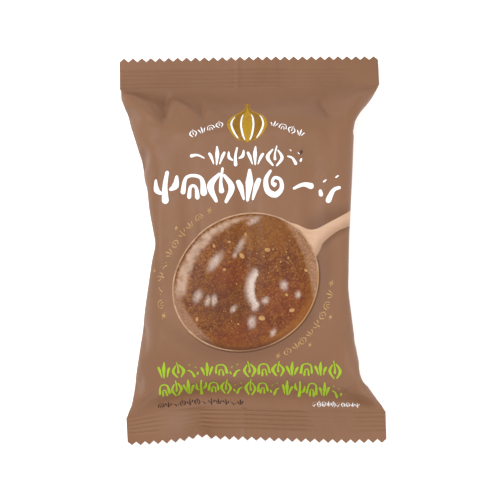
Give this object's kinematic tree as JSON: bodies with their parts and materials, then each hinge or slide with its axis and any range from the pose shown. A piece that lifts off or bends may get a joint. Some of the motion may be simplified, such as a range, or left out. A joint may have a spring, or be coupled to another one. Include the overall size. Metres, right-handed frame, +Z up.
{
  "type": "freeze-dried onion soup sachet",
  "caption": "Sealed flow-wrap film sachet holding a single-serving block of freeze-dried onion soup, with crimped, zigzag-cut end seals and a back fin seal.",
  "frame": {"origin": "on the floor under the middle of the pack's bounding box, as it lies on its back", "axes": "+X across the pack, +Y along it towards the upper end seal, +Z up out of the printed face"},
  "size_m": [0.0866, 0.1289, 0.0252],
  "materials": {
    "printed_film": "satin brown printed packaging film with coloured print on the front panel"
  },
  "bodies": {
    "root": {"sachet": "printed_film"}
  },
  "joints": []
}
